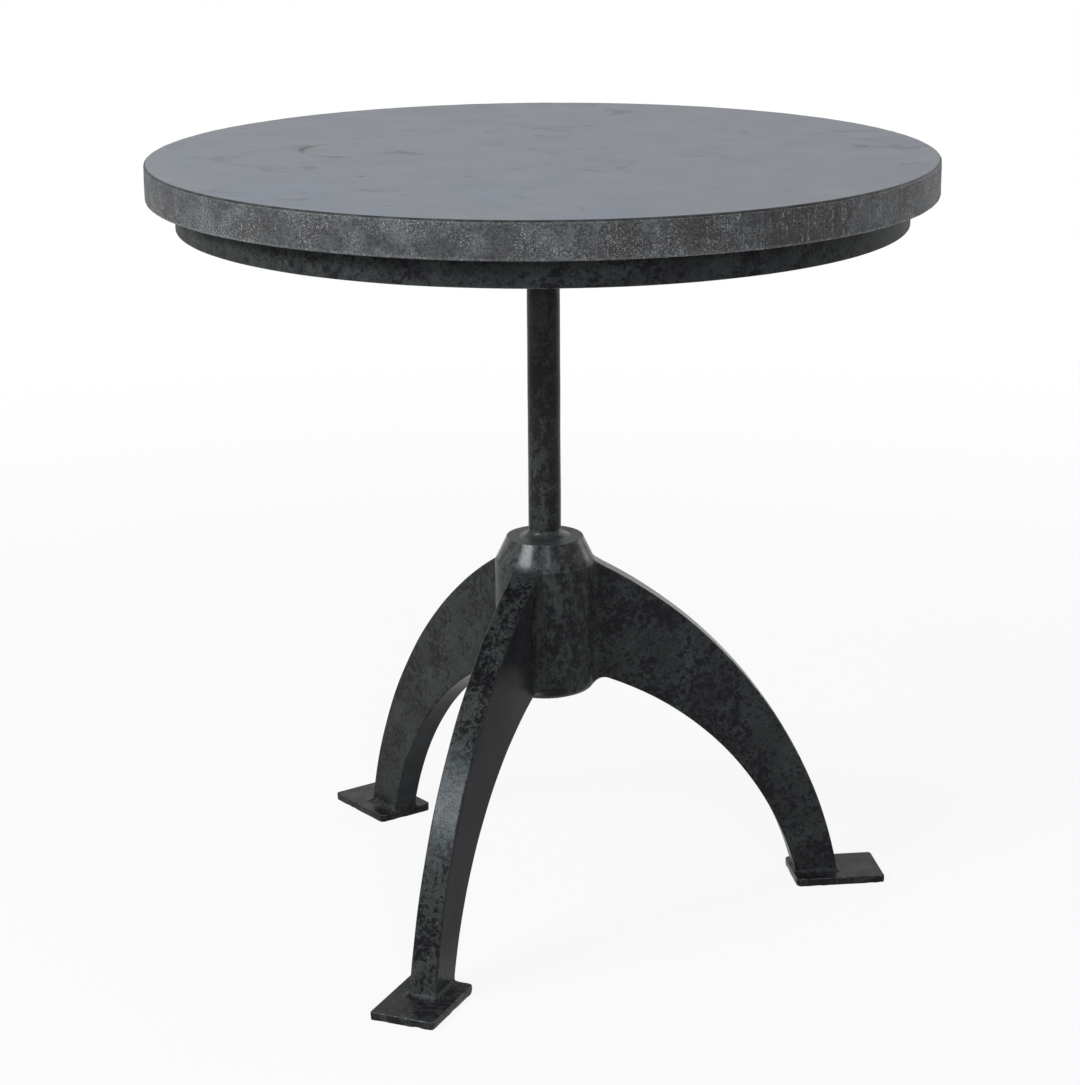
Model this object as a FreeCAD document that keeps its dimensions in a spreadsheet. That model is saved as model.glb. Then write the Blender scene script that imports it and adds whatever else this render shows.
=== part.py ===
import FreeCAD, Part
import os
import Sketcher

# Round cocktail table: a loose stone top on a blackened iron base.
# The base is a rolled ring with a flat-bar spider, a post, a turned hub and three curved legs.
# Millimetres, +Z up. The origin is on the floor under the post, and one leg points along +X.

SIZES = [
    ("table_height", 610, "floor to the top of the stone"),
    ("top_diameter", 610, "stone top, across"),
    ("stone_thickness", 28.5, "stone top"),
    ("stone_arris", 2.2, "bevel of the stone's top and bottom edges"),
    ("bumper_diameter", 18, "clear bumper under the stone"),
    ("bumper_height", 1.5, "bumper, squeezed by the stone"),
    ("bumper_inset", 70, "ring's inner face to the middle of a bumper"),
    ("ring_diameter", 565, "apron ring, outside"),
    ("ring_height", 21, "apron ring"),
    ("ring_wall", 6, "flat bar that the apron ring is rolled from"),
    ("ring_arris", 0.8, "bevel of the ring's lower outer edge"),
    ("bar_width", 32, "flat bars of the spider"),
    ("bar_thickness", 8, "flat bars of the spider"),
    ("bar_weld", 5, "fillet welds of the spider"),
    ("plate_width", 110, "square centre plate under the spider"),
    ("plate_thickness", 8, "centre plate"),
    ("post_diameter", 26, "round bar post"),
    ("post_weld", 6, "welds round both ends of the post"),
    ("socket_depth", 45, "bore in the hub that the post stands in"),
    ("socket_clearance", 0.1, "radial clearance of the post in its bore"),
    ("hub_diameter", 80, "turned hub"),
    ("hub_top_diameter", 61, "flat top of the hub"),
    ("hub_shoulder", 20, "height of the hub's tapered shoulder"),
    ("hub_above", 1.5, "hub's straight wall above the legs"),
    ("hub_below", 10.5, "hub's straight wall below the legs"),
    ("hub_round", 5.5, "rounding of the hub's lower edge"),
    ("leg_thickness", 22, "plate that the legs are cut from"),
    ("leg_arris", 1.3, "bevel of the legs' long edges"),
    ("inner_radius", 257, "hollow edge of a leg"),
    ("inner_set_back", 42, "centre of the hollow edge, behind the post's axis"),
    ("inner_drop", 55, "centre of the hollow edge, below the floor"),
    ("leg_swell", 134, "convex edge of a leg, larger in radius than the hollow one"),
    ("leg_shift", 100, "centre of the convex edge, behind that of the hollow one"),
    ("leg_sink", 8, "centre of the convex edge, below that of the hollow one"),
    ("leg_weld", 8, "radius of the ground cove between leg and hub"),
    ("foot_length", 74, "foot plate, along the leg"),
    ("foot_width", 52, "foot plate, across the leg"),
    ("foot_thickness", 6.5, "foot plate"),
    ("foot_ledge", 2.2, "foot plate, inside the heel of the leg"),
    ("foot_corner", 2.5, "foot plate's corners"),
    ("foot_arris", 1.2, "bevel of the foot plate's upper edges"),
    ("foot_weld", 6, "radius of the weld between leg and foot plate"),
    ("weld_edge", 0.5, "thickness of a weld where it runs out"),
]
LEG_TURNS = {"right": 0, "rear": 120, "front": 240}

# Angles at which hollow welds and the hub's rounded edge are faceted
COVE_TURNS = (45,)
ROUND_TURNS = (0, 45, 90)
LEG_WELD_TURNS = (15, 35, 55, 72)
FOOT_WELD_TURNS = (0, 24, 48, 76)

Z_AXIS = FreeCAD.Vector(0, 0, 1)
ORIGIN = FreeCAD.Vector(0, 0, 0)
START, END, CENTRE = 1, 2, 3
ROOT = (-1, START)

doc = FreeCAD.newDocument("cocktail_table")
sheet = doc.addObject("Spreadsheet::Sheet", "dims")
for row, (alias, size, note) in enumerate(SIZES, start=1):
    sheet.set(f"A{row}", alias)
    sheet.set(f"B{row}", str(size))
    sheet.setAlias(f"B{row}", alias)
    sheet.set(f"C{row}", note)
doc.recompute()


# Heights and reaches that several pieces share, as expressions on the sheet


OUTER = {
    "radius": "(dims.inner_radius + dims.leg_swell)",
    "set_back": "(dims.inner_set_back + dims.leg_shift)",
    "drop": "(dims.inner_drop + dims.leg_sink)",
}
INNER = {"radius": "dims.inner_radius", "set_back": "dims.inner_set_back", "drop": "dims.inner_drop"}


def height_of(arc, x):
    """height of a leg's edge at a distance from the axis"""
    return f"(sqrt({arc['radius']}^2 - ({x} + {arc['set_back']})^2) - {arc['drop']})"


def reach_of(arc, z):
    """distance of a leg's edge from the axis at a height"""
    return f"(sqrt({arc['radius']}^2 - ({z} + {arc['drop']})^2) - {arc['set_back']})"


STONE_LOW = "(dims.table_height - dims.stone_thickness)"
RING_TOP = f"({STONE_LOW} - dims.bumper_height)"
RING_INSIDE = "(dims.ring_diameter / 2 - dims.ring_wall)"
BAR_LOW = f"({RING_TOP} - dims.bar_thickness)"
PLATE_LOW = f"({BAR_LOW} - dims.plate_thickness)"
HUB_RADIUS = "(dims.hub_diameter / 2)"
HUB_LOW = f"({height_of(INNER, HUB_RADIUS)} - dims.hub_below)"
HUB_EDGE = f"({height_of(OUTER, HUB_RADIUS)} + dims.hub_above)"
HUB_TOP = f"({HUB_EDGE} + dims.hub_shoulder)"
POST_RADIUS = "(dims.post_diameter / 2)"
POST_LOW = f"({HUB_TOP} - dims.socket_depth)"
FOOT_START = f"({reach_of(INNER, 'dims.foot_thickness')} - dims.foot_ledge)"


def number(expression):
    """value of an expression on the sheet, in millimetres or degrees"""
    return float(sheet.evalExpression(expression))


def point(x, y):
    return FreeCAD.Vector(x, y, 0)


# Helpers for bodies and sketches


def new_body(label):
    body = doc.addObject("PartDesign::Body", label)
    body.Label = label
    return body


def plane_of(body, role):
    return next(item for item in body.Origin.OriginFeatures if item.Role == role)


def new_sketch(body, name, role="XY_Plane", offset=None):
    """sketch on an origin plane of its body, lifted along the plane's normal"""
    sketch = body.newObject("Sketcher::SketchObject", name)
    sketch.AttachmentSupport = (plane_of(body, role), [""])
    sketch.MapMode = "FlatFace"
    if offset is not None:
        sketch.setExpression(".AttachmentOffset.Base.z", offset)
    return sketch


def bind(sketch, kind, *where, to):
    """dimension of a sketch, tied to an expression"""
    index = sketch.addConstraint(Sketcher.Constraint(kind, *where, number(to)))
    name = f"{kind.lower()}_{index}"
    sketch.renameConstraint(index, name)
    sketch.setExpression(f"Constraints.{name}", to)


def join(sketch, *corners):
    for first, second in corners:
        sketch.addConstraint(Sketcher.Constraint("Coincident", *first, *second))


def polygon(sketch, corners):
    """closed outline of straight lines through corners given as pairs of expressions"""
    places = [point(number(x), number(y)) for x, y in corners]
    following = places[1:] + places[:1]
    lines = [sketch.addGeometry(Part.LineSegment(a, b)) for a, b in zip(places, following)]
    for line, after in zip(lines, lines[1:] + lines[:1]):
        join(sketch, ((line, END), (after, START)))
    for line, (x, y) in zip(lines, corners):
        pin(sketch, (line, START), x, y)
    return lines


def pin(sketch, spot, x, y):
    """point of a sketch at two expressions"""
    for kind, axis, size in (("DistanceX", -2, x), ("DistanceY", -1, y)):
        value = number(size)
        if abs(value) < 1e-9:
            sketch.addConstraint(Sketcher.Constraint("PointOnObject", *spot, axis))
        elif value > 0:
            bind(sketch, kind, *ROOT, *spot, to=size)
        else:
            bind(sketch, kind, *spot, *ROOT, to=f"-({size})")


def circle(sketch, radius, x="0", y="0"):
    index = sketch.addGeometry(Part.Circle(point(number(x), number(y)), Z_AXIS, number(radius)))
    pin(sketch, (index, CENTRE), x, y)
    bind(sketch, "Radius", index, to=radius)
    return index


def arc_about(sketch, centre, radius, first, second):
    """arc from one point to another, anticlockwise about a centre"""
    about = Part.Circle(centre, Z_AXIS, radius)
    return sketch.addGeometry(Part.ArcOfCircle(about, about.parameter(first), about.parameter(second)))


def rectangle(low, high, half):
    """corners of a rectangle from low to high along X and half to each side of it"""
    return [(low, f"-{half}"), (high, f"-{half}"), (high, half), (low, half)]


def bevelled(low, high, half, bevel):
    """corners of a rectangle along X with its corners cut off"""
    inner, outer = f"({low} + {bevel})", f"({high} - {bevel})"
    side = f"({half} - {bevel})"
    lower = [(inner, f"-{half}"), (outer, f"-{half}"), (high, f"-{side}"), (high, side)]
    upper = [(outer, half), (inner, half), (low, side), (low, f"-{side}")]
    return lower + upper


def on_end(corners):
    """corners turned a quarter, so that what ran along X runs up"""
    return [(f"-({across})", along) for along, across in corners]


def fillet(corner_x, corner_z, size, up, turns=()):
    """corners of a fillet weld, plain or hollowed at a few turns of its face, in a corner of the work"""
    sweep = f"({size} - dims.weld_edge)"
    hollow = [
        (
            f"({corner_x} + {size} - {sweep} * cos({turn} deg))",
            f"({corner_z} + {up} * ({size} - {sweep} * sin({turn} deg)))",
        )
        for turn in turns
    ]
    foot = (f"({corner_x} + {size})", corner_z)
    head = (corner_x, f"({corner_z} + {up} * {size})")
    return [(corner_x, corner_z), foot, *hollow, head]


def pad(body, sketch, length, both_ways=False):
    feature = body.newObject("PartDesign::Pad", f"{body.Name}_pad")
    feature.Profile = sketch
    feature.setExpression("Length", length)
    if both_ways:
        feature.SideType = "Symmetric"
    doc.recompute()
    return feature


def revolve(body, sketch, angle=None):
    """profile turned about the vertical axis, all round or by an angle centred on the sketch"""
    feature = body.newObject("PartDesign::Revolution", f"{body.Name}_turn")
    feature.Profile = sketch
    feature.ReferenceAxis = (sketch, ["V_Axis"])
    feature.Angle = 360
    if angle is not None:
        feature.Midplane = True
        feature.setExpression("Angle", angle)
    doc.recompute()
    return feature


def repeat_round(body, feature, count):
    """copies of a feature at equal turns about the vertical axis"""
    pattern = body.newObject("PartDesign::PolarPattern", f"{body.Name}_pattern")
    pattern.Originals = [feature]
    pattern.Axis = (plane_of(body, "Z_Axis"), [""])
    pattern.Angle = 360
    pattern.Occurrences = count
    body.Tip = pattern
    doc.recompute()
    return pattern


def ease(body, feature, chosen, size, rounded=False):
    """bevel, or rounding, of the edges of a feature that a test picks"""
    names = [f"Edge{place}" for place, edge in enumerate(feature.Shape.Edges, start=1) if chosen(edge)]
    if not names:
        raise RuntimeError(f"no edges to ease on {body.Label}")
    eased = body.newObject("PartDesign::Fillet" if rounded else "PartDesign::Chamfer", f"{feature.Name}_eased")
    eased.Base = (feature, names)
    eased.setExpression("Radius" if rounded else "Size", size)
    doc.recompute()
    return eased


def is_round(edge, radius):
    return edge.Curve.TypeId == "Part::GeomCircle" and abs(edge.Curve.Radius - radius) < 1e-6


def at_height(edge, z):
    return all(abs(vertex.Point.z - z) < 1e-6 for vertex in edge.Vertexes)


def is_upright(edge):
    low, high = (vertex.Point for vertex in edge.Vertexes[:2])
    return abs(low.x - high.x) + abs(low.y - high.y) < 1e-6


def turn_about_post(item, angle):
    item.Placement = FreeCAD.Placement(ORIGIN, FreeCAD.Rotation(Z_AXIS, angle))


def loft(body, sections):
    feature = body.newObject("PartDesign::AdditiveLoft", f"{body.Name}_flare")
    feature.Profile = sections[0]
    feature.Sections = sections[1:]
    feature.Ruled = True
    doc.recompute()
    return feature


def cut_away(label, blank, *tools):
    """blank with each tool's solid taken out of it in turn"""
    item = blank
    for step, tool in enumerate(tools, start=1):
        cut = doc.addObject("Part::Cut", f"{label}_cut_{step}")
        cut.Base = item
        cut.Tool = tool
        item = cut
    item.Label = label
    doc.recompute()
    return item


# The top


def stone_top():
    body = new_body("stone_top")
    sketch = new_sketch(body, "stone_outline", offset=STONE_LOW)
    circle(sketch, "dims.top_diameter / 2")
    slab = pad(body, sketch, "dims.stone_thickness")
    rim = number("dims.top_diameter / 2")
    ease(body, slab, lambda edge: is_round(edge, rim), "dims.stone_arris")
    return body


def top_bumpers():
    body = new_body("top_bumpers")
    sketch = new_sketch(body, "bumper_outline", offset=RING_TOP)
    circle(sketch, "dims.bumper_diameter / 2", x=f"{RING_INSIDE} - dims.bumper_inset")
    dot = pad(body, sketch, "dims.bumper_height")
    repeat_round(body, dot, 4)
    return body


def apron_ring():
    body = new_body("apron_ring")
    sketch = new_sketch(body, "ring_outline", offset=f"{RING_TOP} - dims.ring_height")
    circle(sketch, "dims.ring_diameter / 2")
    circle(sketch, RING_INSIDE)
    hoop = pad(body, sketch, "dims.ring_height")
    outside, low = number("dims.ring_diameter / 2"), number(f"{RING_TOP} - dims.ring_height")
    ease(body, hoop, lambda edge: is_round(edge, outside) and at_height(edge, low), "dims.ring_arris")
    return body


# The spider under the stone


def spider_long_bar():
    """flat bar right across the ring, its ends cut to the ring's curve"""
    body = new_body("spider_long_bar")
    sketch = new_sketch(body, "long_bar_outline", offset=BAR_LOW)
    inside, half = number(RING_INSIDE), number("dims.bar_width / 2")
    end = (inside**2 - half**2) ** 0.5
    front = sketch.addGeometry(Part.LineSegment(point(-end, -half), point(end, -half)))
    right = arc_about(sketch, ORIGIN, inside, point(end, -half), point(end, half))
    rear = sketch.addGeometry(Part.LineSegment(point(end, half), point(-end, half)))
    left = arc_about(sketch, ORIGIN, inside, point(-end, half), point(-end, -half))
    join(sketch, ((front, END), (right, START)), ((right, END), (rear, START)))
    join(sketch, ((rear, END), (left, START)), ((left, END), (front, START)))
    for line in (front, rear):
        sketch.addConstraint(Sketcher.Constraint("Horizontal", line))
    for end_arc in (right, left):
        join(sketch, ((end_arc, CENTRE), ROOT))
        bind(sketch, "Radius", end_arc, to=RING_INSIDE)
    bind(sketch, "DistanceY", *ROOT, rear, START, to="dims.bar_width / 2")
    bind(sketch, "DistanceY", front, START, *ROOT, to="dims.bar_width / 2")
    pad(body, sketch, "dims.bar_thickness")
    return body


def spider_short_bar(label, angle):
    """flat bar from the side of the long bar to the ring"""
    body = new_body(label)
    sketch = new_sketch(body, f"{label}_outline", offset=BAR_LOW)
    inside, half = number(RING_INSIDE), number("dims.bar_width / 2")
    end = (inside**2 - half**2) ** 0.5
    front = sketch.addGeometry(Part.LineSegment(point(half, -half), point(end, -half)))
    tip = arc_about(sketch, ORIGIN, inside, point(end, -half), point(end, half))
    rear = sketch.addGeometry(Part.LineSegment(point(end, half), point(half, half)))
    butt = sketch.addGeometry(Part.LineSegment(point(half, half), point(half, -half)))
    join(sketch, ((front, END), (tip, START)), ((tip, END), (rear, START)))
    join(sketch, ((rear, END), (butt, START)), ((butt, END), (front, START)), ((tip, CENTRE), ROOT))
    for line in (front, rear):
        sketch.addConstraint(Sketcher.Constraint("Horizontal", line))
    sketch.addConstraint(Sketcher.Constraint("Vertical", butt))
    bind(sketch, "Radius", tip, to=RING_INSIDE)
    bind(sketch, "DistanceX", *ROOT, butt, START, to="dims.bar_width / 2")
    bind(sketch, "DistanceY", *ROOT, rear, START, to="dims.bar_width / 2")
    bind(sketch, "DistanceY", front, START, *ROOT, to="dims.bar_width / 2")
    pad(body, sketch, "dims.bar_thickness")
    turn_about_post(body, angle)
    return body


def centre_plate():
    body = new_body("centre_plate")
    sketch = new_sketch(body, "plate_outline", offset=PLATE_LOW)
    half = "(dims.plate_width / 2)"
    polygon(sketch, rectangle(f"-{half}", half, half))
    pad(body, sketch, "dims.plate_thickness")
    return body


def bar_ring_welds():
    """beads under the four bar ends, along the ring's inner face"""
    body = new_body("bar_ring_welds")
    sketch = new_sketch(body, "bar_end_bead", "XZ_Plane")
    corners = [
        (RING_INSIDE, BAR_LOW),
        (f"{RING_INSIDE} - dims.bar_weld", BAR_LOW),
        (RING_INSIDE, f"{BAR_LOW} - dims.bar_weld"),
    ]
    polygon(sketch, corners)
    bead = revolve(body, sketch, f"2 * asin(dims.bar_width / 2 / {RING_INSIDE})")
    repeat_round(body, bead, 4)
    return body


def bar_plate_welds():
    """beads along both sides of each bar, on top of the centre plate"""
    body = new_body("bar_plate_welds")
    inner_end = "(dims.bar_width / 2 + 2 * dims.bar_weld)"
    outer_end = "(dims.plate_width / 2 - 2 * dims.bar_weld)"
    sketch = new_sketch(body, "bar_side_bead", "YZ_Plane", offset=inner_end)
    side = "dims.bar_width / 2"
    corners = [
        (side, BAR_LOW),
        (f"{side} + dims.bar_weld", BAR_LOW),
        (side, f"{BAR_LOW} + dims.bar_weld"),
    ]
    polygon(sketch, corners)
    bead = pad(body, sketch, f"{outer_end} - {inner_end}")
    mirror = body.newObject("PartDesign::Mirrored", "bar_other_side")
    mirror.MirrorPlane = (plane_of(body, "XZ_Plane"), [""])
    turns = body.newObject("PartDesign::PolarPattern", "bar_turns")
    turns.Axis = (plane_of(body, "Z_Axis"), [""])
    turns.Angle = 360
    turns.Occurrences = 4
    both = body.newObject("PartDesign::MultiTransform", "bar_sides_all_round")
    both.Originals = [bead]
    both.Transformations = [mirror, turns]
    body.Tip = both
    doc.recompute()
    return body


# The post and its welds


def post():
    """round bar from the bottom of the hub's bore to the centre plate"""
    bar = doc.addObject("Part::Cylinder", "post")
    bar.Label = "post"
    bar.setExpression("Radius", POST_RADIUS)
    bar.setExpression("Height", f"{PLATE_LOW} - {POST_LOW}")
    bar.setExpression(".Placement.Base.z", POST_LOW)
    doc.recompute()
    return bar


def post_weld(label, height, up, turns=()):
    """weld all round the post, standing on the hub or hanging from the plate"""
    body = new_body(label)
    sketch = new_sketch(body, f"{label}_section", "XZ_Plane")
    polygon(sketch, fillet(POST_RADIUS, height, "dims.post_weld", up, turns))
    revolve(body, sketch)
    return body


def hub():
    """turned block with a tapered shoulder, bored for the post"""
    body = new_body("hub")
    sketch = new_sketch(body, "hub_section", "XZ_Plane")
    bore = f"({POST_RADIUS} + dims.socket_clearance)"
    rounded = [
        (
            f"({HUB_RADIUS} - dims.hub_round * (1 - sin({turn} deg)))",
            f"({HUB_LOW} + dims.hub_round * (1 - cos({turn} deg)))",
        )
        for turn in ROUND_TURNS
    ]
    corners = [
        ("0", HUB_LOW),
        *rounded,
        (HUB_RADIUS, HUB_EDGE),
        ("dims.hub_top_diameter / 2", HUB_TOP),
        (bore, HUB_TOP),
        (bore, POST_LOW),
        ("0", POST_LOW),
    ]
    polygon(sketch, corners)
    revolve(body, sketch)
    return body


# The legs and their feet


def leg(label, angle):
    """curved leg between two arcs, its root coped to the hub and its base cut level on the foot plate"""
    body = new_body(label)
    sketch = new_sketch(body, f"{label}_outline", "XZ_Plane")
    root = f"(sqrt({HUB_RADIUS}^2 - (dims.leg_thickness / 2)^2) - dims.leg_arris)"
    base = "dims.foot_thickness"
    root_x, base_z = number(root), number(base)
    crown = point(root_x, number(height_of(OUTER, root)))
    toe = point(number(reach_of(OUTER, base)), base_z)
    heel = point(number(reach_of(INNER, base)), base_z)
    throat = point(root_x, number(height_of(INNER, root)))
    edges = []
    for arc, first, second in ((OUTER, toe, crown), (INNER, heel, throat)):
        centre = point(-number(arc["set_back"]), -number(arc["drop"]))
        edge = arc_about(sketch, centre, number(arc["radius"]), first, second)
        bind(sketch, "Radius", edge, to=arc["radius"])
        bind(sketch, "DistanceX", edge, CENTRE, *ROOT, to=arc["set_back"])
        bind(sketch, "DistanceY", edge, CENTRE, *ROOT, to=arc["drop"])
        edges.append(edge)
    outer, inner = edges
    root_line = sketch.addGeometry(Part.LineSegment(crown, throat))
    base_line = sketch.addGeometry(Part.LineSegment(heel, toe))
    join(sketch, ((outer, END), (root_line, START)), ((root_line, END), (inner, END)))
    join(sketch, ((inner, START), (base_line, START)), ((base_line, END), (outer, START)))
    sketch.addConstraint(Sketcher.Constraint("Vertical", root_line))
    sketch.addConstraint(Sketcher.Constraint("Horizontal", base_line))
    bind(sketch, "DistanceX", *ROOT, root_line, START, to=root)
    bind(sketch, "DistanceY", *ROOT, base_line, START, to=base)
    blank = pad(body, sketch, "dims.leg_thickness", both_ways=True)

    cope = new_sketch(body, f"{label}_cope")
    circle(cope, HUB_RADIUS)
    coped = body.newObject("PartDesign::Pocket", f"{label}_coped")
    coped.Profile = cope
    coped.Type = "ThroughAll"
    coped.SideType = "Symmetric"
    doc.recompute()
    if coped.Shape.Volume >= blank.Shape.Volume:
        raise RuntimeError(f"the root of {label} is not coped")

    radii = [number(arc["radius"]) for arc in (OUTER, INNER)]
    ease(body, coped, lambda edge: any(is_round(edge, radius) for radius in radii), "dims.leg_arris")
    turn_about_post(body, angle)
    return body


def leg_weld(label, angle, leg_body, hub_body):
    """ground weld that flares from the leg on to the hub, all round the leg's root"""
    body = new_body(f"{label}_blank")
    half = "(dims.leg_thickness / 2)"
    run_out = f"sqrt(({HUB_RADIUS} + dims.leg_weld)^2 - ({half} + dims.leg_weld)^2)"
    places = [
        (f"({run_out} - dims.leg_weld * sin({turn} deg))", f"(dims.leg_weld * (1 - cos({turn} deg)))")
        for turn in LEG_WELD_TURNS
    ]
    buried = f"({run_out} - 1.5 * dims.leg_weld)"
    places.append((buried, places[-1][1]))
    sections = []
    for step, (x, swell) in enumerate(places):
        grown = f"({swell} + dims.weld_edge)"
        sketch = new_sketch(body, f"{label}_section_{step}", "YZ_Plane", offset=x)
        low = f"({height_of(INNER, x)} - {grown})"
        high = f"({height_of(OUTER, x)} + {grown})"
        corners = bevelled(low, high, f"({half} + {grown})", f"({grown} / 2 + dims.leg_arris)")
        polygon(sketch, on_end(corners))
        sections.append(sketch)
    doc.recompute()
    loft(body, sections)
    turn_about_post(body, angle)
    return cut_away(label, body, leg_body, hub_body)


def foot_plate(label, angle):
    body = new_body(label)
    sketch = new_sketch(body, f"{label}_outline")
    end = f"({FOOT_START} + dims.foot_length)"
    polygon(sketch, rectangle(FOOT_START, end, "(dims.foot_width / 2)"))
    slab = pad(body, sketch, "dims.foot_thickness")
    rounded = ease(body, slab, is_upright, "dims.foot_corner", rounded=True)
    top = number("dims.foot_thickness")
    ease(body, rounded, lambda edge: at_height(edge, top), "dims.foot_arris")
    turn_about_post(body, angle)
    return body


def foot_weld(label, angle, leg_body):
    """weld round the base of a leg, cut short at the heel by the end of the foot plate"""
    body = new_body(f"{label}_blank")
    sections = []
    for step, turn in enumerate(FOOT_WELD_TURNS):
        rise = f"(dims.foot_thickness + dims.foot_weld * (1 - cos({turn} deg)))"
        swell = f"(dims.foot_weld * (1 - sin({turn} deg)) + dims.weld_edge)"
        sketch = new_sketch(body, f"{label}_section_{step}", offset=rise)
        low = f"({reach_of(INNER, rise)} - dims.weld_edge)"
        high = f"({reach_of(OUTER, rise)} + {swell})"
        half = f"(dims.leg_thickness / 2 + {swell})"
        polygon(sketch, bevelled(low, high, half, f"({swell} / 2 + dims.leg_arris)"))
        sections.append(sketch)
    doc.recompute()
    loft(body, sections)
    turn_about_post(body, angle)
    return cut_away(label, body, leg_body)


def build():
    hub_body = hub()
    parts = [
        stone_top(),
        top_bumpers(),
        apron_ring(),
        spider_long_bar(),
        spider_short_bar("spider_short_bar_rear", 90),
        spider_short_bar("spider_short_bar_front", 270),
        centre_plate(),
        bar_ring_welds(),
        bar_plate_welds(),
        post(),
        post_weld("post_plate_weld", PLATE_LOW, up=-1),
        post_weld("post_hub_weld", HUB_TOP, up=1, turns=COVE_TURNS),
        hub_body,
    ]
    for place, angle in LEG_TURNS.items():
        leg_body = leg(f"leg_{place}", angle)
        parts.append(leg_body)
        parts.append(leg_weld(f"leg_weld_{place}", angle, leg_body, hub_body))
        parts.append(foot_plate(f"foot_plate_{place}", angle))
        parts.append(foot_weld(f"foot_weld_{place}", angle, leg_body))
    return parts


def check(parts):
    for item in doc.Objects:
        if "Invalid" in item.State or "Error" in item.State:
            raise RuntimeError(f"{item.Label} failed: {item.State}")
    for part in parts:
        if part.Shape.isNull() or not part.Shape.isValid() or not part.Shape.Solids:
            raise RuntimeError(f"{part.Label} has no valid solid")


def write(parts):
    os.makedirs("parts", exist_ok=True)
    for part in parts:
        part.Shape.exportStep(f"parts/{part.Label}.step")
        solids = len(part.Shape.Solids)
        print(f"{part.Label}: {solids} solid(s), {part.Shape.Volume / 1000:.1f} cm3")


pieces = build()
doc.recompute()
check(pieces)
write(pieces)
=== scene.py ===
import math

import bmesh
import bpy
from bpy.props import FloatProperty, FloatVectorProperty, PointerProperty
from mathutils import Matrix, Vector, noise


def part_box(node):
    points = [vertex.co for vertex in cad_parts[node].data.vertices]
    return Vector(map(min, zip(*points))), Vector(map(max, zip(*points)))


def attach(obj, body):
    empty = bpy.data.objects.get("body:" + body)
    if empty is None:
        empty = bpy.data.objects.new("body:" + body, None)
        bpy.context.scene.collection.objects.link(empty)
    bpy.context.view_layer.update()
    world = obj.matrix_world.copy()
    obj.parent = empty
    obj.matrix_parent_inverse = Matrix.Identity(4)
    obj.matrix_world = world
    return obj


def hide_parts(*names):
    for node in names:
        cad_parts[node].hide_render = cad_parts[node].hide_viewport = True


bl_info = {
    "name": "Stone and iron cocktail table",
    "version": (1, 0, 0),
    "blender": (4, 5, 0),
    "location": "View3D > Sidebar > Table",
    "description": "Dresses the packed table: honed stone on a welded, waxed iron base",
    "category": "Object",
}

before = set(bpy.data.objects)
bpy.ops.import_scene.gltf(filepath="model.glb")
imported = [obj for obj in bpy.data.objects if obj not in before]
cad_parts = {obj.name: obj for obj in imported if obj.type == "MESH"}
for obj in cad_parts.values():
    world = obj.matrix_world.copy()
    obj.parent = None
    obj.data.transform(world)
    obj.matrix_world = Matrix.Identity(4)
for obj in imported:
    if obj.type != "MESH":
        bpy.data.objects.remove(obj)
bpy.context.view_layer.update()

# The frame's own sizes, in metres

STONE_LOW, STONE_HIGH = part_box("stone_top")
RING_LOW, RING_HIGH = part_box("apron_ring")
HUB_LOW, HUB_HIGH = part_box("hub")
POST_LOW, POST_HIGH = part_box("post")
LEG_LOW, LEG_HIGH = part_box("leg_right")
FOOT_LOW, FOOT_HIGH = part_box("foot_plate_right")
BAR_LOW, BAR_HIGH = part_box("spider_long_bar")
PLATE_LOW, PLATE_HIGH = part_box("centre_plate")

SPIDER = ("spider_long_bar", "spider_short_bar_rear", "spider_short_bar_front", "centre_plate")
LEG_TURNS = {"right": 0, "rear": 120, "front": 240}
FOOT_WELD_SHARES = {"right": 0.6, "rear": 1.1, "front": 0.85}
MM = 0.001
LEG_IN_FOOT = 0.4 * MM
LEG_IN_HUB = 4 * MM
POST_IN_HUB = 4 * MM
PIECES_SEED = 7

# Facets round each turned piece

STONE_FACETS, RING_FACETS, POST_FACETS = 420, 360, 72
HUB_FACETS, FLARE_FACETS, BUMPER_FACETS = 144, 90, 40


# Properties


def length(name, description, default):
    return FloatProperty(
        name=name, description=description, default=default, min=0, precision=4, unit="LENGTH"
    )


def share(name, description, default):
    return FloatProperty(
        name=name, description=description, default=default, min=0, max=1, subtype="FACTOR"
    )


def angle(name, description, degrees):
    turn = math.radians(degrees)
    return FloatProperty(name=name, description=description, default=turn, unit="ROTATION")


def colour(name, description, default):
    return FloatVectorProperty(
        name=name, description=description, default=default, size=3, min=0, max=1, subtype="COLOR"
    )


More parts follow.
